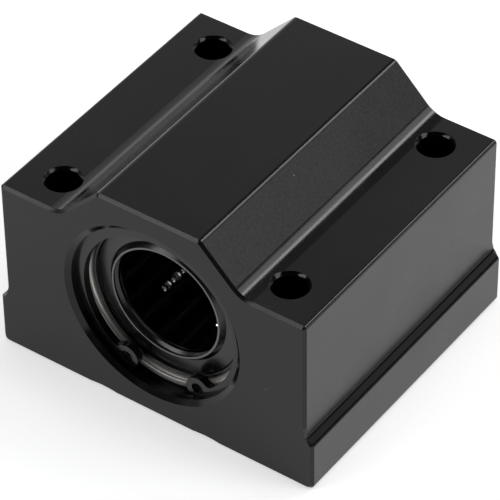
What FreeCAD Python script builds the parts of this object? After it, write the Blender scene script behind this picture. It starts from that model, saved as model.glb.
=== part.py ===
"""Linear bearing block for a 25 mm shaft: an aluminium case with a ball bushing held by two circlips.

The bore axis runs along Y at height bore_height, +Z is up, and the origin is the centre of the base.
Every length is in millimetres.
"""
import FreeCAD, Part
import math
import os

V = FreeCAD.Vector

# ---------------------------------------------------------------- case block
block_width = 76.0          # over the lower edges
block_length = 67.0         # along the bore
block_height = 51.5         # base to ridge top
shoulder_height = 42.0      # base to the two shoulders
bore_height = 26.0          # base to bore axis
upper_width = 72.5          # over the side faces above the step
step_height = 12.0          # base to the foot of the side step
step_rise = 1.1             # height of the sloping side step
step_edge_round = 0.9       # at the foot of the step
step_fillet = 0.4           # in the corner above the step
ridge_top_width = 24.2
ridge_slope_deg = 45.0
ridge_foot_fillet = 6.0
ridge_edge_round = 1.5
shoulder_edge_round = 0.8
base_edge_round = 1.5
face_chamfer = 0.6          # round both end faces
relief_offset = 12.6        # centre plane to the middle of each base groove
relief_width = 11.6
relief_depth = 0.85

# ---------------------------------------------------------------- mounting holes
hole_pitch_x = 54.0
hole_pitch_y = 50.0
hole_diameter = 7.0         # clear for M6, and the core of the M8 thread cut from the base
hole_mouth_chamfer = 0.55

# ---------------------------------------------------------------- case bore and circlips
seat_clearance = 0.01       # radial, between the sleeve and its seat in the case
bore_mouth_chamfer = 1.1
sleeve_inset = 4.0          # end face of the case to the end of the sleeve
circlip_groove_diameter = 42.5
circlip_groove_width = 1.85
circlip_thickness = 1.75
circlip_clearance = 0.05    # radial, to the groove floor
circlip_inner_radius = 18.0
circlip_inner_offset = 0.9  # the inner edge is eccentric, so the ring thins towards its lugs
circlip_neck_fillet = 1.0
lug_centre_radius = 18.4
lug_half_angle_deg = 28.0
lug_radius = 2.7
lug_hole_radius = 1.35
circlip_turn_deg = 1.7      # how far the opening sits from straight down

# ---------------------------------------------------------------- ball bushing
shaft_diameter = 25.0
sleeve_diameter = 40.0
sleeve_mouth_wall = 2.0
sleeve_mouth_depth = 3.2

ball_diameter = 3.175
ball_play = 0.01            # between the loaded balls and the raceway
ball_gap = 0.06             # between neighbours in a row
row_count = 6
row_start_deg = 226.2       # first loaded row, from +X towards +Z
row_inset = 11.0            # end of the sleeve to the first loaded ball, at least

cage_shaft_clearance = 0.4  # radial
cage_clearance = 0.18       # radial, to the raceway
cage_end_gap = 0.05
slot_clearance = 0.05       # round the balls in the cage
mouth_clearance = 0.03      # radial, of the seals in the sleeve

seal_clearance = 0.02       # along the bore, to the mouth's floor
seal_setback = 1.0          # sleeve end to the face of the seal
seal_lip_rise = 0.35        # how far the lip stands out of the face
seal_lip_width = 1.1        # radial, at its foot

past = 1.0                  # how far a cutter reaches beyond what it cuts
length_tolerance = 1e-4     # within which two lengths are the same


def polar(radius, angle_deg, y=0.0):
    """Point at a radius and an angle round the bore axis."""
    angle = math.radians(angle_deg)
    return V(radius * math.cos(angle), y, bore_height + radius * math.sin(angle))


def turned(profile):
    """Solid of revolution round the bore axis from (radius, y) corners."""
    corners = [V(radius, y, bore_height) for radius, y in profile]
    face = Part.Face(Part.makePolygon(corners + corners[:1]))
    return face.revolve(V(0, 0, bore_height), V(0, 1, 0), 360)


def both_ends(half):
    """A profile's rear half and its mirror image at the front, as one loop."""
    return half + [(radius, -y) for radius, y in reversed(half)]


def cylinder_y(radius, y_from, y_to, x=0.0, z=None):
    """Cylinder along Y, on the bore axis unless placed elsewhere."""
    height = bore_height if z is None else z
    return Part.makeCylinder(radius, y_to - y_from, V(x, y_from, height), V(0, 1, 0))


def mirrored_to_rear(shape):
    """The same piece at the rear end, seen in a mirror across the middle."""
    return shape.mirror(V(0, 0, 0), V(0, 1, 0))


def edges_where(shape, test):
    """Edges of a shape whose two ends both pass a test."""
    chosen = []
    for edge in shape.Edges:
        if all(test(vertex.Point) for vertex in edge.Vertexes):
            chosen.append(edge)
    return chosen


def same(a, b):
    return abs(a - b) < length_tolerance


sleeve_length = block_length - 2 * sleeve_inset


# ---------------------------------------------------------------- case
ridge_run = (block_height - shoulder_height) / math.tan(math.radians(ridge_slope_deg))


def block_outline():
    """Corners of the case's end face, right half then left half, counter-clockwise."""
    right = [
        (block_width / 2, 0.0),
        (block_width / 2, step_height),
        (upper_width / 2, step_height + step_rise),
        (upper_width / 2, shoulder_height),
        (ridge_top_width / 2 + ridge_run, shoulder_height),
        (ridge_top_width / 2, block_height),
    ]
    left = [(-x, z) for x, z in reversed(right)]
    return right + left


def long_edge(body, x_at, z_at):
    """The edges that run along the bore through one point of the end profile."""
    return edges_where(body, lambda p: same(p.x, x_at) and same(p.z, z_at))


def extruded_block():
    """Extruded case, with the fillets in its inward corners."""
    corners = [V(x, -block_length / 2, z) for x, z in block_outline()]
    face = Part.Face(Part.makePolygon(corners + corners[:1]))
    body = face.extrude(V(0, block_length, 0))
    foot = ridge_top_width / 2 + ridge_run
    rounds = [
        (upper_width / 2, step_height + step_rise, step_fillet),
        (foot, shoulder_height, ridge_foot_fillet),
    ]
    for x_at, z_at, radius in rounds:
        for side in (-1, 1):
            body = body.makeFillet(radius, long_edge(body, side * x_at, z_at))
    return body


def rounded_edges(body):
    """The case with its outward edges rounded."""
    rounds = [
        (block_width / 2, 0.0, base_edge_round),
        (block_width / 2, step_height, step_edge_round),
        (upper_width / 2, shoulder_height, shoulder_edge_round),
        (ridge_top_width / 2, block_height, ridge_edge_round),
    ]
    for x_at, z_at, radius in rounds:
        for side in (-1, 1):
            body = body.makeFillet(radius, long_edge(body, side * x_at, z_at))
    return body


def base_reliefs():
    """Two shallow round-bottomed grooves along the base."""
    radius = (relief_width ** 2 / 4 + relief_depth ** 2) / (2 * relief_depth)
    tools = []
    for side in (-1, 1):
        tools.append(
            cylinder_y(radius, -block_length, block_length, side * relief_offset, relief_depth - radius)
        )
    return tools


def mounting_hole(x, y):
    """One through hole, chamfered where the screw enters on the shoulder."""
    bore = Part.makeCylinder(hole_diameter / 2, shoulder_height + 2 * past, V(x, y, -past))
    mouth = Part.makeCone(
        hole_diameter / 2,
        hole_diameter / 2 + 2 * hole_mouth_chamfer,
        2 * hole_mouth_chamfer,
        V(x, y, shoulder_height - hole_mouth_chamfer),
    )
    return bore.fuse(mouth)


def case_bore():
    """The sleeve's seat with both circlip grooves and both mouth chamfers, as one cutter."""
    seat = sleeve_diameter / 2 + seat_clearance
    groove = circlip_groove_diameter / 2
    end = block_length / 2
    stop = sleeve_length / 2
    outer = stop + circlip_groove_width
    mouth = seat + bore_mouth_chamfer
    half = [
        (seat, stop),
        (groove, stop),
        (groove, outer),
        (seat, outer),
        (seat, end - bore_mouth_chamfer),
        (mouth, end),
        (mouth, end + past),
        (0.0, end + past),
    ]
    return turned(both_ends(half))


def housing():
    body = extruded_block()
    for y_at in (-block_length / 2, block_length / 2):
        rim = edges_where(body, lambda p: same(p.y, y_at))
        body = body.makeChamfer(face_chamfer, rim)
    body = rounded_edges(body).cut(base_reliefs())
    holes = []
    for x in (-hole_pitch_x / 2, hole_pitch_x / 2):
        for y in (-hole_pitch_y / 2, hole_pitch_y / 2):
            holes.append(mounting_hole(x, y))
    return body.cut([case_bore()] + holes)


# ---------------------------------------------------------------- circlips
def front_circlip():
    """Internal retaining ring, thinner towards the two lugs beside its opening."""
    play = (circlip_groove_width - circlip_thickness) / 2
    y = -(sleeve_length / 2 + circlip_thickness + play)
    outer_radius = circlip_groove_diameter / 2 - circlip_clearance
    disc = cylinder_y(outer_radius, y, y + circlip_thickness)
    front = y - past
    rear = y + circlip_thickness + past
    inner = cylinder_y(circlip_inner_radius, front, rear, 0, bore_height - circlip_inner_offset)
    ring = disc.cut(inner)
    reach = 2 * outer_radius
    middle = 270.0
    wedge = Part.makePolygon([
        polar(0, middle, front),
        polar(reach, middle - lug_half_angle_deg, front),
        polar(reach, middle + lug_half_angle_deg, front),
        polar(0, middle, front),
    ])
    ring = ring.cut(Part.Face(wedge).extrude(V(0, rear - front, 0)))
    centres = [polar(lug_centre_radius, middle + side * lug_half_angle_deg) for side in (-1, 1)]
    for centre in centres:
        ring = ring.fuse(cylinder_y(lug_radius, y, y + circlip_thickness, centre.x, centre.z))
    ring = ring.removeSplitter()
    necks = []
    for edge in ring.Edges:
        if len(edge.Vertexes) != 2 or not same(edge.Length, circlip_thickness):
            continue
        point = edge.Vertexes[0].Point
        radius = math.hypot(point.x, point.z - bore_height)
        if radius < circlip_inner_radius + lug_radius:
            necks.append(edge)
    ring = ring.makeFillet(circlip_neck_fillet, necks)
    for centre in centres:
        ring = ring.cut(cylinder_y(lug_hole_radius, front, rear, centre.x, centre.z))
    ring.rotate(V(0, 0, bore_height), V(0, 1, 0), -circlip_turn_deg)
    return ring


# ---------------------------------------------------------------- ball bushing
raceway_radius = shaft_diameter / 2 + ball_diameter + ball_play
row_radius = (shaft_diameter + ball_diameter) / 2
mouth_radius = sleeve_diameter / 2 - sleeve_mouth_wall
mouth_floor = sleeve_length / 2 - sleeve_mouth_depth
balls_in_row = int((sleeve_length - 2 * row_inset) / (ball_diameter + ball_gap))


def row_angle(row):
    return row_start_deg + row * 360.0 / row_count


def faceted_ball(centre, outward):
    """Ball with twenty flat facets, its corners on the true sphere and two of them on the radius."""
    along = V(0, 1, 0)
    across = outward.cross(along)
    radius = ball_diameter / 2
    rise = radius / math.sqrt(5)
    ring_radius = 2 * rise

    def ring(height, start_deg):
        points = []
        for number in range(5):
            angle = math.radians(start_deg + 72 * number)
            sideways = along * math.cos(angle) + across * math.sin(angle)
            points.append(centre + outward * height + sideways * ring_radius)
        return points

    top = centre + outward * radius
    bottom = centre - outward * radius
    upper = ring(rise, 0)
    lower = ring(-rise, 36)
    triangles = []
    for number in range(5):
        after = (number + 1) % 5
        triangles.append((top, upper[number], upper[after]))
        triangles.append((upper[number], lower[number], upper[after]))
        triangles.append((upper[after], lower[number], lower[after]))
        triangles.append((bottom, lower[after], lower[number]))
    faces = [Part.Face(Part.makePolygon(list(corners) + [corners[0]])) for corners in triangles]
    return Part.makeSolid(Part.makeShell(faces))


def ball_row(row):
    """The loaded balls of one row, each its own solid."""
    pitch = ball_diameter + ball_gap
    outward = polar(1, row_angle(row)) - polar(0, 0)
    balls = []
    for number in range(balls_in_row):
        y = (number - (balls_in_row - 1) / 2) * pitch
        balls.append(faceted_ball(polar(row_radius, row_angle(row), y), outward))
    return Part.makeCompound(balls)


def sleeve():
    """Hardened outer sleeve: the raceway, and a wider mouth at each end for the seal."""
    end = sleeve_length / 2
    return turned(both_ends([
        (raceway_radius, mouth_floor),
        (mouth_radius, mouth_floor),
        (mouth_radius, end),
        (sleeve_diameter / 2, end),
    ]))


def cage():
    """Moulded retainer tube with a slot for each row, through which the balls reach the shaft."""
    end = mouth_floor - cage_end_gap
    body = turned(both_ends([
        (shaft_diameter / 2 + cage_shaft_clearance, end),
        (raceway_radius - cage_clearance, end),
    ]))
    slot_radius = ball_diameter / 2 + slot_clearance
    reach = (balls_in_row - 1) / 2 * (ball_diameter + ball_gap) + slot_radius
    slots = []
    for row in range(row_count):
        centre = polar(row_radius, row_angle(row))
        slots.append(cylinder_y(slot_radius, -reach, reach, centre.x, centre.z))
    return body.cut(slots)


def rear_seal():
    """Rubber end seal, seated on the floor of the sleeve's mouth, with a lip on the shaft."""
    outer = mouth_radius - mouth_clearance
    back = mouth_floor + seal_clearance
    face = sleeve_length / 2 - seal_setback
    lip = shaft_diameter / 2
    return turned([
        (outer, back),
        (outer, face),
        (lip + seal_lip_width, face),
        (lip, face + seal_lip_rise),
        (lip, back),
    ])


# ---------------------------------------------------------------- the pieces, one file each
def pieces():
    circlip = front_circlip()
    seal = rear_seal()
    named = {
        "housing": housing(),
        "front_circlip": circlip,
        "rear_circlip": mirrored_to_rear(circlip),
        "bearing_sleeve": sleeve(),
        "ball_cage": cage(),
        "front_seal": mirrored_to_rear(seal),
        "rear_seal": seal,
    }
    for row in range(row_count):
        named["ball_row_%d" % (row + 1)] = ball_row(row)
    return named


os.makedirs("parts", exist_ok=True)
for name, shape in pieces().items():
    shape.exportStep("parts/%s.step" % name)
    print("%-18s %4d solids %10.1f mm3 valid %s" % (name, len(shape.Solids), shape.Volume, shape.isValid()))
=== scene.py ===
"""Looks of the linear bearing block: a black anodised case with a ball bushing held by two circlips.

Lengths below are in millimetres; every mesh is written in metres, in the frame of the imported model.
"""
import math

import bmesh
import bpy
from mathutils import Matrix, Vector


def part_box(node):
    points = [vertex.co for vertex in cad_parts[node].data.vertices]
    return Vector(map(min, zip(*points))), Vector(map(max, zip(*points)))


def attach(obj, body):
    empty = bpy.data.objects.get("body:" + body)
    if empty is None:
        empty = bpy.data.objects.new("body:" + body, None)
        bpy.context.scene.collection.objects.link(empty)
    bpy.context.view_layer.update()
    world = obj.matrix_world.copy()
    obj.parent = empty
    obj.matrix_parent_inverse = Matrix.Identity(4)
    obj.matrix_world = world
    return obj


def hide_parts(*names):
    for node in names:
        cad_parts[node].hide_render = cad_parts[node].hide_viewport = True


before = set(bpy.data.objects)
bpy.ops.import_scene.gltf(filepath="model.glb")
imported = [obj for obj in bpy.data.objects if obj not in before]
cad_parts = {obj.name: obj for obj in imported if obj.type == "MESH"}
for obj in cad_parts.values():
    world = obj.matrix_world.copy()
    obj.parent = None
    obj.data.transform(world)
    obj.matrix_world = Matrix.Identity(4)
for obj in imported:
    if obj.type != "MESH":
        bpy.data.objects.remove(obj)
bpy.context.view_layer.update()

MM = 0.001


def node_span(node):
    """Lowest and highest corner of a CAD node, in millimetres."""
    low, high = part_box(node)
    return low / MM, high / MM


# ---------------------------------------------------------------- sizes taken from the frame
case_high = node_span("housing")[1]
half_length = case_high.y
half_width = case_high.x
case_height = case_high.z
sleeve_low, sleeve_high = node_span("bearing_sleeve")
half_sleeve = sleeve_high.y
sleeve_radius = sleeve_high.x
bore_height = (sleeve_low.z + sleeve_high.z) / 2
clip_low, clip_high = node_span("rear_circlip")
clip_front = clip_low.y
clip_back = clip_high.y
seal_low, seal_high = node_span("rear_seal")
seal_outer = seal_high.x
seal_back = seal_low.y
cage_high = node_span("ball_cage")[1]
cage_end = cage_high.y
cage_outer = cage_high.x

# ---------------------------------------------------------------- case
shoulder_height = 42.0
upper_half_width = 36.25
step_height = 12.0
step_rise = 1.1
step_chamfer_fade = 2.5     # above the step, where the end chamfer runs out
step_chamfer_share = 0.05   # of the end chamfer, left in the corner of the step
base_edge_round = 1.5
step_edge_round = 0.9
step_fillet = 0.8
shoulder_edge_round = 0.8
ridge_foot_fillet = 6.0
ridge_edge_round = 1.5
ridge_top_half = 12.1
ridge_foot_half = ridge_top_half + case_height - shoulder_height
face_chamfer = 0.6
relief_offset = 12.6
relief_width = 11.6
relief_depth = 0.85
hole_x = 27.0
hole_y = 25.0
hole_radius = 3.5
hole_chamfer = 0.55
thread_depth = 18.0
thread_pitch = 1.25
thread_root = 4.0           # at the bottom of the M8 thread's grooves
seat_radius = 20.01
groove_radius = 21.25
groove_width = 1.85
mouth_chamfer = 1.1
mouth_chamfer_depth = 0.85
micro = 0.09                # rounding of the machined edges
thread_start = 0.35         # above the base
thread_runout = 0.4         # height of the cone between thread and core hole

# ---------------------------------------------------------------- circlips
clip_radius = 21.2
clip_inner = 18.0
clip_offset = 0.9
clip_neck = 1.0
lug_centre = 18.4
lug_half_angle = 28.0
lug_radius = 2.7
lug_hole = 1.35
clip_turn = 1.7
clip_edge = 0.14            # rounding of the stamped edges

# ---------------------------------------------------------------- ball bushing
shaft_radius = 12.5
ball_radius = 1.5875
ball_pitch = 3.235
ball_count = 11
row_radius = shaft_radius + ball_radius
row_start = 226.2
row_count = 6
cage_inner = 12.9
mouth_wall = 18.0
mouth_step = 0.45           # the sleeve's mouth opens up by this much at its very end
mouth_step_depth = 0.8
seal_recess = 1.63          # from the sleeve's end back to the seal's flat face
seal_rim_gap = 0.85         # between the mouth's wall and the seal's rim
seal_cone_foot = 1.4        # out from the lip to the foot of the cone
lip_recess = 0.66           # from the sleeve's end back to the seal's lip
lip_width = 0.45            # of the lip's flat ring
raceway_radius = 15.685
mouth_floor = half_sleeve - 3.2
sleeve_edge = 0.35          # chamfer at the sleeve's outer ends
wire_radius = 0.42          # of the snap wires
wire_inset = 0.47           # from the mouth's wall to the middle of the wire
wire_recess = 1.35          # from the sleeve's end to the middle of the wire
slot_clearance = 0.05       # round the balls in the cage


# ================================================================ mesh helpers
def polar(radius, degrees, y=0.0):
    """Point round the bore axis, from +X towards +Z."""
    angle = math.radians(degrees)
    return Vector((radius * math.cos(angle), y, bore_height + radius * math.sin(angle)))


def linked(name, data):
    """New object in the scene for a mesh, light or camera."""
    obj = bpy.data.objects.new(name, data)
    bpy.context.scene.collection.objects.link(obj)
    return obj


def mesh_of(name, vertices, faces):
    """Mesh in metres from millimetre vertices."""
    mesh = bpy.data.meshes.new(name)
    mesh.from_pydata([tuple(MM * c for c in v) for v in vertices], [], faces)
    return mesh


def made(name, vertices, faces):
    """Object from millimetre vertices, outward normals made consistent."""
    obj = linked(name, mesh_of(name, vertices, faces))
    clean(obj)
    return obj


def circle(radius, count, x=0.0, y=0.0):
    """Points of a circle in a plane, counter-clockwise."""
    points = []
    for k in range(count):
        angle = 2 * math.pi * k / count
        points.append((x + radius * math.cos(angle), y + radius * math.sin(angle)))
    return points


def clean(obj, merge=1e-7):
    """Merges doubled points and turns the faces outward."""
    work = bmesh.new()
    work.from_mesh(obj.data)
    bmesh.ops.remove_doubles(work, verts=work.verts, dist=merge)
    bmesh.ops.dissolve_degenerate(work, edges=work.edges, dist=merge)
    bmesh.ops.recalc_face_normals(work, faces=work.faces)
    work.to_mesh(obj.data)
    work.free()


def rounded_loop(corners, inset=0.0):
    """Closed loop from counter-clockwise (a, b, radius, segments) corners, moved inward by inset.

    A fifth value scales the inset at its corner.
    """
    points = []
    count = len(corners)
    whole = inset
    for i, (a, b, radius, segments, *scale) in enumerate(corners):
        inset = whole * (scale[0] if scale else 1.0)
        here = Vector((a, b))
        u = (here - Vector(corners[i - 1][:2])).normalized()
        w = (Vector(corners[(i + 1) % count][:2]) - here).normalized()
        nu = Vector((-u.y, u.x))
        nw = Vector((-w.y, w.x))
        corner = here + (nu + nw) * (inset / (1 + nu.dot(nw)))
        if not segments:
            points.append(corner)
            continue
        turn = math.atan2(u.x * w.y - u.y * w.x, u.dot(w))
        side = 1 if turn > 0 else -1
        r = max(radius - side * inset, 0.0)
        centre = corner - u * (r * math.tan(abs(turn) / 2)) + nu * (side * r)
        start = -nu * side
        for k in range(segments + 1):
            spin = Matrix.Rotation(turn * k / segments, 2)
            points.append(centre + (spin @ start) * r)
    return points


def skin(name, loops, capped=True):
    """Closed surface through equal loops of 3-D points."""
    size = len(loops[0])
    vertices = [tuple(p) for loop in loops for p in loop]
    faces = []
    for j in range(len(loops) - 1):
        for i in range(size):
            k = (i + 1) % size
            faces.append((j * size + i, j * size + k, (j + 1) * size + k, (j + 1) * size + i))
    if capped:
        faces.append(tuple(range(size)))
        faces.append(tuple(range((len(loops) - 1) * size, len(loops) * size)))
    return made(name, vertices, faces)


def lathe(name, profile, segments=192):
    """Turned solid round the bore axis, from a closed (radius, y) profile."""
    vertices = []
    faces = []
    count = len(profile)
    for i in range(segments):
        angle = 2 * math.pi * i / segments
        for radius, y in profile:
            vertices.append((radius * math.cos(angle), y, bore_height + radius * math.sin(angle)))
    for i in range(segments):
        k = (i + 1) % segments
        for j in range(count):
            m = (j + 1) % count
            faces.append((i * count + j, i * count + m, k * count + m, k * count + j))
    return made(name, vertices, faces)


def rod(name, radius, y_from, y_to, x, z, segments):
    """Round rod along Y."""
    ring = circle(radius, segments, x, z)
    return skin(name, [[(a, y, b) for a, b in ring] for y in (y_from, y_to)])


def joined(name, objects):
    """One object out of several, in the order given."""
    work = bmesh.new()
    for obj in objects:
        work.from_mesh(obj.data)
        bpy.data.objects.remove(obj)
    mesh = bpy.data.meshes.new(name)
    work.to_mesh(mesh)
    work.free()
    return linked(name, mesh)


def baked(obj):
    """Applies the object's modifiers to its mesh."""
    graph = bpy.context.evaluated_depsgraph_get()
    mesh = bpy.data.meshes.new_from_object(obj.evaluated_get(graph))
    obj.modifiers.clear()
    obj.data = mesh
    return obj


def cut(obj, cutter):
    """Subtracts a closed mesh and merges the flat faces that are left."""
    step = obj.modifiers.new("cut", "BOOLEAN")
    step.operation = "DIFFERENCE"
    step.solver = "EXACT"
    step.object = cutter
    baked(obj)
    bpy.data.objects.remove(cutter)
    work = bmesh.new()
    work.from_mesh(obj.data)
    bmesh.ops.remove_doubles(work, verts=work.verts, dist=2e-7)
    bmesh.ops.dissolve_limit(
        work, angle_limit=math.radians(0.4), verts=work.verts, edges=work.edges, delimit={"MATERIAL"}
    )
    work.to_mesh(obj.data)
    work.free()
    return obj


def eased(obj, width, segments=2, limit=28.0):
    """Rounds the sharp edges a little and smooths the shading."""
    step = obj.modifiers.new("ease", "BEVEL")
    step.width = width * MM
    step.segments = segments
    step.limit_method = "ANGLE"
    step.angle_limit = math.radians(limit)
    step.use_clamp_overlap = True
    step.harden_normals = False
    step.miter_outer = "MITER_ARC"
    baked(obj)
    return smooth(obj)


def smooth(obj):
    """Smooth shading, with normals that keep the flat faces flat."""
    obj.data.polygons.foreach_set("use_smooth", [True] * len(obj.data.polygons))
    step = obj.modifiers.new("normals", "WEIGHTED_NORMAL")
    step.mode = "FACE_AREA_WITH_ANGLE"
    step.weight = 60
    step.keep_sharp = True
    return obj


def dressed(obj, material, slot, *nodes):
    """Gives a piece its material and its place on the fixed body; the slot is not used."""
    if material is not None:
        obj.data.materials.clear()
        obj.data.materials.append(material)
    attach(obj, "root")
    if nodes:
        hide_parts(*nodes)
    return obj


# ================================================================ materials
dust_cells = 150.0          # cells of the dust pattern in a metre
dust_size = 0.13            # radius of a speck
dust_share = 0.25           # of the cells that hold one
dust_tone = (0.30, 0.30, 0.30)


class Nodes:
    """Small shorthand for a material's node tree."""

    def __init__(self, name):
        self.material = bpy.data.materials.new(name)
        self.material.use_nodes = True
        self.tree = self.material.node_tree
        self.shader = self.tree.nodes["Principled BSDF"]
        self.place = self.add("ShaderNodeTexCoord").outputs["Object"]

    def add(self, kind, **settings):
        node = self.tree.nodes.new(kind)
        for key, value in settings.items():
            setattr(node, key, value)
        return node

    def link(self, source, target):
        self.tree.links.new(source, target)

    def stretched(self, scale):
        """Object coordinates, scaled differently along each axis."""
        node = self.add("ShaderNodeMapping")
        node.inputs["Scale"].default_value = scale
        self.link(self.place, node.inputs["Vector"])
        return node.outputs["Vector"]

    def noise(self, scale, detail=3.0, rough=0.55, vector=None):
        node = self.add("ShaderNodeTexNoise")
        node.inputs["Scale"].default_value = scale
        node.inputs["Detail"].default_value = detail
        node.inputs["Roughness"].default_value = rough
        self.link(vector or self.place, node.inputs["Vector"])
        return node.outputs["Fac"]

    def ramp(self, source, low, high, to_low, to_high):
        node = self.add("ShaderNodeMapRange")
        node.inputs["From Min"].default_value = low
        node.inputs["From Max"].default_value = high
        node.inputs["To Min"].default_value = to_low
        node.inputs["To Max"].default_value = to_high
        self.link(source, node.inputs["Value"])
        return node.outputs["Result"]

    def math(self, operation, first, second=None):
        node = self.add("ShaderNodeMath", operation=operation)
        for slot, value in enumerate((first, second)):
            if value is None:
                continue
            if isinstance(value, (int, float)):
                node.inputs[slot].default_value = value
            else:
                self.link(value, node.inputs[slot])
        return node.outputs["Value"]

    def mix(self, factor, first, second):
        """Colour between two, by a factor from the texture; each is a colour or comes from a node."""
        node = self.add("ShaderNodeMix", data_type="RGBA")
        self.link(factor, node.inputs["Factor"])
        ends = [socket for socket in node.inputs if socket.type == "RGBA"]
        for socket, value in zip(ends, (first, second)):
            if isinstance(value, tuple):
                socket.default_value = (*value, 1)
            else:
                self.link(value, socket)
        return [socket for socket in node.outputs if socket.type == "RGBA"][0]

    def specks(self, tone):
        """The tone with stray specks of pale dust, in a share of the pattern's cells."""
        cells = self.add("ShaderNodeTexVoronoi")
        cells.inputs["Scale"].default_value = dust_cells
        self.link(self.place, cells.inputs["Vector"])
        pick = self.add("ShaderNodeSeparateColor")
        self.link(cells.outputs["Color"], pick.inputs["Color"])
        near = self.math("LESS_THAN", cells.outputs["Distance"], dust_size * MM * dust_cells)
        rare = self.math("LESS_THAN", pick.outputs["Red"], dust_share)
        return self.mix(self.math("MULTIPLY", near, rare), tone, dust_tone)

    def bump(self, height, distance):
        node = self.add("ShaderNodeBump")
        node.inputs["Strength"].default_value = 1.0
        node.inputs["Distance"].default_value = distance * MM
        self.link(height, node.inputs["Height"])
        self.link(node.outputs["Normal"], self.shader.inputs["Normal"])

    def around(self):
        """Distance from the bore axis and place along it, in metres."""
        split = self.add("ShaderNodeSeparateXYZ")
        self.link(self.place, split.inputs["Vector"])
        drop = self.math("SUBTRACT", split.outputs["Z"], bore_height * MM)
        across_squared = self.math("POWER", split.outputs["X"], 2.0)
        drop_squared = self.math("POWER", drop, 2.0)
        square = self.math("ADD", across_squared, drop_squared)
        return self.math("SQRT", square), split.outputs["Y"]

    def set(self, **values):
        for key, value in values.items():
            self.shader.inputs[key.replace("_", " ")].default_value = value


def anodised(name, colour, fleck, rough, grain, grain_size, draw, ior):
    """Black anodised aluminium: dyed oxide with a fine grain, faint drawing lines and stray specks. The
    colours given carry painted shade or painted sheen on some faces.
    """
    n = Nodes(name)
    fine = n.noise(1000 / grain_size, detail=2.0, rough=0.7)
    cloud = n.noise(55.0, detail=4.0)
    lines = n.noise(1.0, detail=2.0, vector=n.stretched((2600.0, 22.0, 2600.0)))
    mixed = n.math("ADD", n.math("MULTIPLY", fine, 0.75), n.math("MULTIPLY", cloud, 0.25))
    tone = n.mix(n.ramp(mixed, 0.38, 0.64, 0.0, 1.0), colour, fleck)
    n.link(n.specks(tone), n.shader.inputs["Base Color"])
    spread = n.math("ADD", n.ramp(cloud, 0.3, 0.7, -0.04, 0.04), n.ramp(fine, 0.3, 0.7, -0.03, 0.03))
    n.link(n.math("ADD", spread, rough), n.shader.inputs["Roughness"])
    height = n.math("ADD", n.math("MULTIPLY", fine, grain), n.math("MULTIPLY", lines, draw))
    n.bump(height, 0.02)
    n.set(IOR=ior)
    return n.material


# colour and fleck of the dyed faces, and a darker pair painted on the bore, the screw holes and the step
# band as painted shade
tint = (0.004, 0.0042, 0.0042), (0.009, 0.0095, 0.009)
painted_shade_tint = (0.0006, 0.0006, 0.0006), (0.0018, 0.0018, 0.0018)
case_drawn = anodised("anodised_drawn", *tint, 0.24, 0.45, 0.35, 0.2, 1.6)
# painted sheen: the right slope's fleck is far paler than on the other faces and the left slope,
# standing in for the lights it reflects
case_grained_painted_sheen = anodised(
    "anodised_slope_painted_sheen", (0.002, 0.0022, 0.0021), (0.017, 0.0192, 0.0177), 0.40, 2.4, 0.6, 0.1, 1.48
)
case_milled = anodised(
    "anodised_milled", (0.002, 0.0021, 0.0023), (0.005, 0.0052, 0.0056), 0.26, 0.4, 0.3, 0.0, 1.38
)
# painted shade: the bore, its grooves and chamfers, the screw holes and their threads take the darker
# pair
case_turned_painted_shade = anodised("anodised_turned_painted_shade", *painted_shade_tint, 0.13, 0.2, 0.3, 0.0, 1.36)
case_side = anodised("anodised_side", *tint, 0.30, 0.6, 0.35, 0.2, 1.51)
case_sheer = anodised(
    "anodised_sheer", (0.002, 0.0022, 0.0021), (0.010, 0.011, 0.0105), 0.17, 0.6, 0.5, 0.1, 1.7
)
# painted shade: the band at the side step takes the darker pair and a weaker reflection
case_band_painted_shade = anodised("anodised_band_painted_shade", *painted_shade_tint, 0.20, 0.4, 0.4, 0.2, 1.26)
case_edge = anodised(
    "anodised_edge", (0.003, 0.0032, 0.0031), (0.008, 0.0085, 0.0082), 0.15, 0.3, 0.35, 0.1, 1.65
)


def steel(name, dark, bright, rough, ring_lines):
    """Machined steel with turning lines round the bore."""
    n = Nodes(name)
    radius, along = n.around()
    step = n.add("ShaderNodeCombineXYZ")
    n.link(n.math("MULTIPLY", radius, ring_lines), step.inputs["X"])
    n.link(n.math("MULTIPLY", along, ring_lines), step.inputs["Y"])
    lines = n.noise(1.0, detail=3.0, vector=step.outputs["Vector"])
    cloud = n.noise(160.0, detail=5.0)
    n.link(n.mix(n.ramp(lines, 0.3, 0.7, 0.0, 1.0), dark, bright), n.shader.inputs["Base Color"])
    n.link(n.math("ADD", n.ramp(cloud, 0.3, 0.7, -0.06, 0.06), rough), n.shader.inputs["Roughness"])
    n.bump(lines, 0.006)
    n.set(Metallic=1.0)
    return n.material


bearing_steel = steel("bearing_steel", (0.76, 0.74, 0.70), (0.96, 0.94, 0.89), 0.43, 3000.0)
ball_steel = steel("ball_steel", (0.92, 0.92, 0.92), (0.97, 0.97, 0.97), 0.06, 300.0)


def dark_steel(name):
    """Oil-blackened spring steel, stamped and tumbled."""
    n = Nodes(name)
    fine = n.noise(2600.0, detail=2.0)
    cloud = n.noise(260.0, detail=5.0)
    n.link(n.mix(n.ramp(cloud, 0.35, 0.7, 0.0, 1.0), (0.003, 0.003, 0.0032), (0.007, 0.007, 0.0074)),
           n.shader.inputs["Base Color"])
    n.link(n.ramp(cloud, 0.3, 0.7, 0.14, 0.24), n.shader.inputs["Roughness"])
    n.bump(fine, 0.004)
    n.set(IOR=1.42)
    return n.material


spring_steel = dark_steel("spring_steel")


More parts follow.
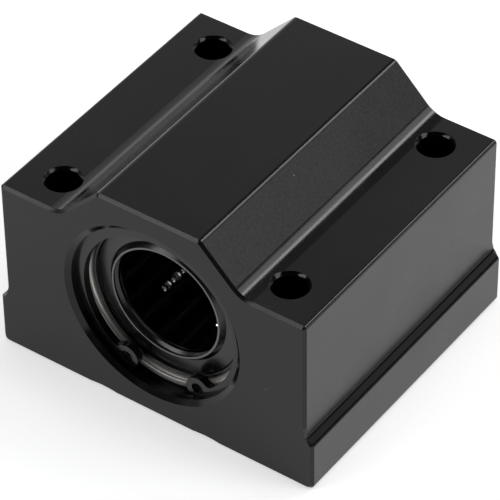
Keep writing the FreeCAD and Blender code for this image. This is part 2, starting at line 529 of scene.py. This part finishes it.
def moulded(name, dark, light, rough, size, height, ior=1.5):
    """Black rubber or resin straight from the mould, a little cloudy; the seal lip's paler colour is a
    painted highlight.
    """
    n = Nodes(name)
    fine = n.noise(1000 / size, detail=3.0)
    cloud = n.noise(140.0, detail=5.0)
    n.link(n.mix(n.ramp(cloud, 0.3, 0.75, 0.0, 1.0), dark, light), n.shader.inputs["Base Color"])
    n.link(n.math("ADD", n.ramp(cloud, 0.3, 0.7, -0.07, 0.07), rough), n.shader.inputs["Roughness"])
    n.bump(fine, height)
    n.set(IOR=ior)
    return n.material


seal_rubber = moulded("seal_rubber", (0.002, 0.002, 0.0021), (0.006, 0.006, 0.0063), 0.24, 0.25, 0.005)
# painted highlight: the lip's pale grey ring stands in for the bright line that the lip's edge catches
seal_lip_painted_highlight = moulded("seal_lip_painted_highlight", (0.035, 0.035, 0.037), (0.055, 0.055, 0.058), 0.22, 0.4, 0.002, ior=1.85)
cage_resin = moulded(
    "cage_resin", (0.001, 0.001, 0.0011), (0.002, 0.002, 0.0021), 0.16, 0.4, 0.003, ior=1.3
)


# ================================================================ case
def case_outline():
    """Corners of the case's end face: place, radius, segments, and at one corner the chamfer's share."""
    step_top = step_height + step_rise
    right = [
        (half_width, 0.0, base_edge_round, 8),
        (half_width, step_height, step_edge_round, 6),
        (upper_half_width, step_top, step_fillet, 6, step_chamfer_share),
        (upper_half_width, step_top + step_chamfer_fade, 0.0, 0),
        (upper_half_width, shoulder_height, shoulder_edge_round, 8),
        (ridge_foot_half, shoulder_height, ridge_foot_fillet, 24),
        (ridge_top_half, case_height, ridge_edge_round, 10),
    ]
    return right + [(-x, *rest) for x, *rest in reversed(right)]


def case_body():
    """The extrusion with both end faces chamfered all round."""
    outline = case_outline()
    stations = [
        (face_chamfer, -half_length),
        (0.0, -half_length + face_chamfer),
        (0.0, half_length - face_chamfer),
        (face_chamfer, half_length),
    ]
    loops = []
    for inset, y in stations:
        loops.append([(p.x, y, p.y) for p in rounded_loop(outline, inset)])
    return skin("case", loops)


def relief_cutter(side):
    """Shallow round-bottomed groove along the base."""
    radius = (relief_width ** 2 / 4 + relief_depth ** 2) / (2 * relief_depth)
    past = 1.0
    half_steps = 12
    half_angle = math.acos((radius - relief_depth - past) / radius)
    loops = []
    for y in (-half_length - past, half_length + past):
        loop = []
        for k in range(2 * half_steps + 1):
            angle = half_angle * (1 - k / half_steps)
            x = side * relief_offset + radius * math.sin(angle)
            loop.append((x, y, relief_depth - radius + radius * math.cos(angle)))
        loops.append(loop)
    return skin("relief", loops)


def bore_cutter():
    """Seat of the bushing, with both circlip grooves and both mouth chamfers."""
    stop = half_sleeve
    outer = stop + groove_width
    mouth = seat_radius + mouth_chamfer
    half = [
        (seat_radius, stop),
        (groove_radius, stop),
        (groove_radius, outer),
        (seat_radius, outer),
        (seat_radius, half_length - mouth_chamfer_depth),
        (mouth, half_length),
        (mouth, half_length + 1),
    ]
    profile = [(r, -y) for r, y in reversed(half)] + half
    loops = []
    segments = 192
    for radius, y in profile:
        loops.append([tuple(polar(radius, 360 * k / segments, y)) for k in range(segments)])
    return skin("bore", loops)


def hole_cutter(x, y):
    """Screw hole: chamfered on the shoulder, opened up where the base thread is."""
    core = thread_root + 0.05
    flare = 0.5
    past = 0.5
    profile = [
        (core + flare + past, -past),
        (core, flare),
        (core, thread_depth),
        (hole_radius, thread_depth + thread_runout),
        (hole_radius, shoulder_height - hole_chamfer),
        (hole_radius + hole_chamfer + past, shoulder_height + past),
    ]
    loops = []
    for radius, z in profile:
        loops.append([(a, b, z) for a, b in circle(radius, 72, x, y)])
    return skin("hole", loops)


def thread(x, y):
    """The M8 thread of one hole, as a skin in the opened-up part of the hole."""
    segments = 48
    levels = 8                  # in one turn of the thread
    low = thread_start
    fade_height = 0.6           # over which the thread begins
    count = int((thread_depth - low) / thread_pitch * levels)
    depth = thread_root - hole_radius
    vertices = []
    faces = []
    for j in range(count + 1):
        z = low + (thread_depth - low) * j / count
        for k in range(segments):
            phase = (z / thread_pitch - k / segments) % 1.0
            wave = abs(2 * phase - 1)
            crest = min(max(1.35 * wave - 0.12, 0.0), 1.0)
            fade = min(1.0, (z - low) / fade_height)
            radius = thread_root - depth * crest * fade
            angle = 2 * math.pi * k / segments
            vertices.append((x + radius * math.cos(angle), y + radius * math.sin(angle), z))
    rim = len(vertices)
    vertices += [(a, b, low) for a, b in circle(thread_root + 0.2, segments, x, y)]
    top = len(vertices)
    vertices += [(a, b, thread_depth + thread_runout) for a, b in circle(hole_radius, segments, x, y)]
    for j in range(count):
        lower = j * segments
        upper = lower + segments
        for k in range(segments):
            m = (k + 1) % segments
            faces.append((lower + k, lower + m, upper + m, upper + k))
    for k in range(segments):
        m = (k + 1) % segments
        faces.append((rim + k, rim + m, m, k))
        faces.append((count * segments + k, count * segments + m, top + m, top + k))
    obj = linked("thread", mesh_of("thread", vertices, faces))
    work = bmesh.new()
    work.from_mesh(obj.data)
    bmesh.ops.reverse_faces(work, faces=work.faces)
    work.to_mesh(obj.data)
    work.free()
    return obj


def near_hole(centre):
    """Whether a face lies in or at the wall of a screw hole."""
    for x in (-hole_x, hole_x):
        for y in (-hole_y, hole_y):
            if math.hypot(centre.x - x, centre.y - y) < thread_root + 0.4:
                return True
    return False


def finish_of(centre, normal):
    """Finish of one face of the case, by its place in millimetres and the way that it faces; some
    finishes are copies with painted shade or painted sheen.
    """
    from_axis = math.hypot(centre.x, centre.z - bore_height)
    tilt = math.degrees(math.atan2(abs(normal.x), normal.z))
    along_bore = abs(normal.y) < 0.1
    # bore and hole walls: turned finish with painted shade
    if near_hole(centre) and abs(normal.z) < 0.95:
        return case_turned_painted_shade
    if from_axis < groove_radius + 0.1:
        return case_turned_painted_shade
    # the band at the side step: painted shade
    band_top = step_height + step_rise + 0.3
    if along_bore and tilt < 85.0 and step_height - 0.9 < centre.z < band_top:
        return case_band_painted_shade
    if along_bore and 2.0 < tilt < 43.0 and centre.z > shoulder_height - 1.0:
        return case_edge
    if abs(normal.y) > 0.6:
        return case_milled
    # the right slope takes the painted sheen, the left slope does not
    if centre.z > shoulder_height and tilt > 22.0:
        return case_grained_painted_sheen if normal.x > 0 else case_sheer
    return case_side if tilt > 40.0 else case_drawn


def paint_case(obj):
    """Gives each face of the case its finish."""
    finishes = (
        case_drawn, case_grained_painted_sheen, case_milled, case_turned_painted_shade, case_side, case_edge, case_sheer, case_band_painted_shade
    )
    mesh = obj.data
    mesh.materials.clear()
    for material in finishes:
        mesh.materials.append(material)
    for face in mesh.polygons:
        face.material_index = finishes.index(finish_of(face.center / MM, face.normal))


def build_case():
    case = case_body()
    cutters = [relief_cutter(-1), relief_cutter(1), bore_cutter()]
    for x in (-hole_x, hole_x):
        for y in (-hole_y, hole_y):
            cutters.append(hole_cutter(x, y))
    cut(case, joined("cutters", cutters))
    paint_case(case)
    eased(case, micro, 2)
    return case


# ================================================================ circlips
def arc(centre, radius, start, end, steps):
    """Points of an arc in a plane, between two angles in radians."""
    points = []
    for k in range(steps + 1):
        angle = start + (end - start) * k / steps
        points.append((centre[0] + radius * math.cos(angle), centre[1] + radius * math.sin(angle)))
    return points


def heading(start, end):
    """Angle of the way from one point to another."""
    return math.atan2(end[1] - start[1], end[0] - start[0])


def clip_outline():
    """Outline of the retaining ring as (x, z) round the bore axis, its opening straight down."""
    spread = math.radians(lug_half_angle)
    outermost = spread - math.pi / 2
    lug = (lug_centre * math.sin(spread), -lug_centre * math.cos(spread))
    ring_centre = (0.0, -clip_offset)
    reach_lug = lug_radius + clip_neck
    reach_ring = clip_inner - clip_neck
    gap = math.dist(lug, ring_centre)
    along = (reach_ring ** 2 - reach_lug ** 2 + gap ** 2) / (2 * gap)
    side = math.sqrt(reach_ring ** 2 - along ** 2)
    ux, uz = (lug[0] - ring_centre[0]) / gap, (lug[1] - ring_centre[1]) / gap
    neck = (ring_centre[0] + ux * along - uz * side, ring_centre[1] + uz * along + ux * side)
    to_neck = heading(ring_centre, neck)
    lug_end = heading(lug, neck)
    while lug_end > outermost:
        lug_end -= 2 * math.pi
    neck_start = heading(neck, lug)
    neck_end = to_neck
    while neck_end < neck_start:
        neck_end += 2 * math.pi
    if neck_end - neck_start > math.pi:
        neck_end -= 2 * math.pi
    right = arc((0, 0), clip_radius, math.pi / 2, outermost, 80)
    right += arc(lug, lug_radius, outermost, lug_end, 28)
    right += arc(neck, clip_neck, neck_start, neck_end, 8)
    right += arc(ring_centre, clip_inner, to_neck, math.pi / 2, 80)
    return right, [(-x, z) for x, z in reversed(right)], lug


def clip(name, y_from, y_to):
    """One circlip as a flat stamped ring with two drilled lugs."""
    right, left, lug = clip_outline()
    spin = math.radians(clip_turn)
    cosine, sine = math.cos(spin), math.sin(spin)

    def placed(x, z, y):
        return (x * cosine - z * sine, y, bore_height + x * sine + z * cosine)

    loops = [[placed(x, z, y) for x, z in right + left] for y in (y_from, y_to)]
    ring = skin(name, loops)
    drills = []
    for side in (-1, 1):
        x, _, z = placed(side * lug[0], lug[1], 0)
        drills.append(rod("drill", lug_hole, y_from - 1, y_to + 1, x, z, 40))
    cut(ring, joined("drills", drills))
    return eased(ring, clip_edge, 3, 40.0)


# ================================================================ ball bushing
def fine_ring(corners):
    """Closed (radius, y) profile with every corner rounded: corners carry their radius and segments."""
    return [(p.x, p.y) for p in rounded_loop(corners)]


def both_ends(half):
    """A profile's rear half, inner side first, and its mirror image at the front."""
    return half + [(radius, -y, round_, steps) for radius, y, round_, steps in reversed(half)]


def build_sleeve():
    """Hardened sleeve: raceway inside, and a mouth at each end that opens up at the very end."""
    end = half_sleeve
    profile = fine_ring(both_ends([
        (sleeve_radius, end - sleeve_edge, 0.1, 2),
        (sleeve_radius - sleeve_edge, end, 0.1, 2),
        (mouth_wall + mouth_step, end, 0.08, 2),
        (mouth_wall + mouth_step, end - mouth_step_depth, 0.0, 0),
        (mouth_wall, end - mouth_step_depth - 0.1, 0.0, 0),
        (mouth_wall, mouth_floor, 0.0, 0),
        (raceway_radius, mouth_floor, 0.1, 2),
    ]))
    return smooth(lathe("bearing_sleeve", profile))


def snap_wire(name, y):
    """Round steel wire, sprung into the sleeve's mouth to hold the seal."""
    return smooth(lathe(name, circle(wire_radius, 14, mouth_wall - wire_inset, y), 160))


def seal(name, side):
    """Rubber seal: flat face, a cone up to the raised lip, and a second lip behind it; the lip's flat
    front ring is painted pale as a highlight.
    """
    face = half_sleeve - seal_recess
    front = half_sleeve - lip_recess
    rim = mouth_wall - seal_rim_gap
    lip = shaft_radius + 0.02
    corners = [
        (seal_outer, seal_back, 0.0, 0),
        (seal_outer, half_sleeve - 2.1, 0.1, 2),
        (rim, half_sleeve - 2.05, 0.05, 2),
        (rim, face, 0.28, 4),
        (lip + seal_cone_foot, face, 0.08, 3),
        (lip + lip_width, front, 0.05, 3),
        (lip, front, 0.05, 3),
        (lip + 0.12, front - 0.54, 0.1, 2),
        (lip + 0.75, front - 0.94, 0.1, 2),
        (lip + 0.05, front - 1.64, 0.1, 4),
        (lip + 0.3, seal_back, 0.0, 0),
    ]
    profile = [(r, side * y) for r, y in fine_ring(corners[::-1])]
    obj = smooth(lathe(name, profile))
    obj.data.materials.append(seal_rubber)
    obj.data.materials.append(seal_lip_painted_highlight)
    # the lip's flat front ring gets the painted highlight
    for polygon in obj.data.polygons:
        if abs(polygon.normal.y) > 0.9 and abs(polygon.center.y / MM) > front - 0.02:
            polygon.material_index = 1
    return obj


def build_cage():
    """Resin retainer with a slot for each loaded row."""
    profile = fine_ring(both_ends([
        (cage_outer, cage_end, 0.0, 0),
        (cage_inner, cage_end, 0.5, 4),
    ]))
    cage = lathe("ball_cage", profile)
    slots = []
    reach = (ball_count - 1) / 2 * ball_pitch + ball_radius + slot_clearance
    radius = ball_radius + slot_clearance
    for row in range(row_count):
        centre = polar(row_radius, row_start + 360 * row / row_count)
        slots.append(rod("slot", radius, -reach, reach, centre.x, centre.z, 32))
    cut(cage, joined("slots", slots))
    return eased(cage, 0.08, 2, 35.0)


def ball_row(row):
    """The loaded balls of one row."""
    work = bmesh.new()
    for number in range(ball_count):
        y = (number - (ball_count - 1) / 2) * ball_pitch
        centre = polar(row_radius, row_start + 360 * row / row_count, y) * MM
        place = Matrix.Translation(centre)
        bmesh.ops.create_icosphere(work, subdivisions=3, radius=ball_radius * MM, matrix=place)
    name = "balls_%d" % (row + 1)
    mesh = bpy.data.meshes.new(name)
    work.to_mesh(mesh)
    work.free()
    mesh.polygons.foreach_set("use_smooth", [True] * len(mesh.polygons))
    return linked(name, mesh)


# ================================================================ the pieces
dressed(build_case(), None, "anodised_case", "housing")
threads = [thread(x, y) for x in (-hole_x, hole_x) for y in (-hole_y, hole_y)]
# the threads take the turned finish with its painted shade
dressed(joined("case_threads", threads), case_turned_painted_shade, "anodised_case")
dressed(clip("circlip_rear", clip_front, clip_back), spring_steel, "spring_steel", "rear_circlip")
dressed(clip("circlip_front", -clip_back, -clip_front), spring_steel, "spring_steel", "front_circlip")
dressed(build_sleeve(), bearing_steel, "bearing_steel", "bearing_sleeve")
dressed(build_cage(), cage_resin, "cage_resin", "ball_cage")
dressed(seal("seal_rear", 1), None, "seal_rubber", "rear_seal")
dressed(seal("seal_front", -1), None, "seal_rubber", "front_seal")
for side, end_name in ((-1, "front"), (1, "rear")):
    wire = snap_wire("snap_wire_" + end_name, side * (half_sleeve - wire_recess))
    dressed(wire, spring_steel, "spring_steel")
for row in range(row_count):
    dressed(ball_row(row), ball_steel, "ball_steel", "ball_row_%d" % (row + 1))


# ================================================================ stage, light and camera
floor_glow = 0.54           # of its own, for the camera and in mirrors


def build_floor():
    """Wide pale floor that looks nearly white, and keeps the object's shadow."""
    reach = 6000.0
    corners = [(-reach, -reach, 0), (reach, -reach, 0), (reach, reach, 0), (-reach, reach, 0)]
    floor = linked("floor", mesh_of("floor", corners, [(0, 1, 2, 3)]))
    n = Nodes("pale_floor")
    n.shader.inputs["Base Color"].default_value = (0.88, 0.88, 0.88, 1)
    n.shader.inputs["Emission Color"].default_value = (1, 1, 1, 1)
    n.set(Roughness=0.9, Specular_IOR_Level=0.2)
    path = n.add("ShaderNodeLightPath")
    seen = n.math("MAXIMUM", path.outputs["Is Camera Ray"], path.outputs["Is Glossy Ray"])
    seen = n.math("MAXIMUM", seen, path.outputs["Is Transmission Ray"])
    n.link(n.math("MULTIPLY", seen, floor_glow), n.shader.inputs["Emission Strength"])
    floor.data.materials.append(n.material)


def build_world():
    """A dim studio with a pale wall behind, on the left, that fades upwards: (height, level) pairs."""
    world = bpy.data.worlds.new("studio")
    bpy.context.scene.world = world
    world.use_nodes = True
    tree = world.node_tree
    background = tree.nodes["Background"]
    place = tree.nodes.new("ShaderNodeTexCoord")
    split = tree.nodes.new("ShaderNodeSeparateXYZ")
    tree.links.new(place.outputs["Generated"], split.inputs["Vector"])
    ramp = tree.nodes.new("ShaderNodeValToRGB")
    levels = (
        (0.0, 0.50), (0.07, 0.55), (0.12, 0.95), (0.17, 0.90), (0.23, 0.46), (0.50, 0.42),
        (0.59, 0.50), (0.64, 0.27), (0.67, 0.13), (0.70, 0.10), (0.76, 0.12), (1.0, 0.10),
    )
    bands = ramp.color_ramp.elements
    while len(bands) < len(levels):
        bands.new(0.5)
    for band, (height, level) in zip(bands, levels):
        band.position = height
        band.color = (level, level, level, 1)
    tree.links.new(split.outputs["Z"], ramp.inputs["Fac"])
    wall = tree.nodes.new("ShaderNodeVectorMath")
    wall.operation = "DOT_PRODUCT"
    wall.inputs[1].default_value = (-0.75, 0.66, 0.0)
    tree.links.new(place.outputs["Generated"], wall.inputs[0])
    fade = tree.nodes.new("ShaderNodeMapRange")
    fade.interpolation_type = "SMOOTHSTEP"
    for key, value in (("From Min", -0.3), ("From Max", 0.7), ("To Min", 0.18), ("To Max", 1.0)):
        fade.inputs[key].default_value = value
    tree.links.new(wall.outputs["Value"], fade.inputs["Value"])
    tree.links.new(ramp.outputs["Color"], background.inputs["Color"])
    tree.links.new(fade.outputs["Result"], background.inputs["Strength"])


def softbox(name, direction, distance, width, height, radiance, colour, along_x=False):
    """Area light that faces the object from a direction, at a radiance; its width may run along X."""
    light = bpy.data.lights.new(name, "AREA")
    light.shape = "RECTANGLE"
    light.size = width
    light.size_y = height
    light.energy = radiance * width * height * math.pi
    light.color = colour
    obj = linked(name, light)
    away = Vector(direction).normalized()
    obj.location = away * distance
    obj.rotation_mode = "QUATERNION"
    obj.rotation_quaternion = away.to_track_quat("Z", "Y")
    if along_x:
        across = (Vector((1, 0, 0)) - away * away.x).normalized()
        up = away.cross(across)
        obj.rotation_quaternion = Matrix((across, up, away)).transposed().to_quaternion()


view_azimuth = 35.869       # degrees, from looking along +Y
view_elevation = 41.659
view_roll = -0.794
view_distance = 731.34
view_target = (-0.355, 0, 18.698)
lens_length = 262.97        # on a sensor 36 mm wide


def build_camera():
    """Long lens, looking down on the front right edge."""
    azimuth, elevation, roll = (math.radians(a) for a in (view_azimuth, view_elevation, view_roll))
    back = Vector((
        math.sin(azimuth) * math.cos(elevation),
        -math.cos(azimuth) * math.cos(elevation),
        math.sin(elevation),
    ))
    level = Vector((math.cos(azimuth), math.sin(azimuth), 0))
    upward = back.cross(level)
    right = math.cos(roll) * level + math.sin(roll) * upward
    up = math.cos(roll) * upward - math.sin(roll) * level
    camera = linked("camera", bpy.data.cameras.new("camera"))
    camera.data.sensor_width = 36.0
    camera.data.lens = lens_length
    camera.data.clip_start = 0.05
    camera.data.clip_end = 30.0
    camera.matrix_world = Matrix((
        (right.x, up.x, back.x, 0),
        (right.y, up.y, back.y, 0),
        (right.z, up.z, back.z, 0),
        (0, 0, 0, 1),
    ))
    camera.location = Vector(view_target) * MM + back * view_distance * MM
    bpy.context.scene.camera = camera


build_floor()
build_world()
softbox("light_right", (0.80, 0.25, 0.55), 1.3, 0.55, 0.9, 3.4, (0.98, 1.0, 0.97))
softbox("light_left", (-0.44, -0.66, 0.59), 1.3, 0.8, 0.38, 3.8, (0.96, 0.95, 1.0))
softbox("light_strip", (0.255, 0.605, 0.754), 1.3, 0.15, 0.8, 4.0, (0.97, 1.0, 0.98), along_x=True)
softbox("light_card", (0.42, 0.605, 0.68), 1.35, 0.40, 0.8, 1.2, (0.97, 1.0, 0.98), along_x=True)
softbox("light_top", (0.0, 0.05, 1.0), 1.5, 0.6, 0.6, 3.2, (1.0, 1.0, 1.0))
build_camera()
bpy.context.scene.view_settings.view_transform = "Standard"
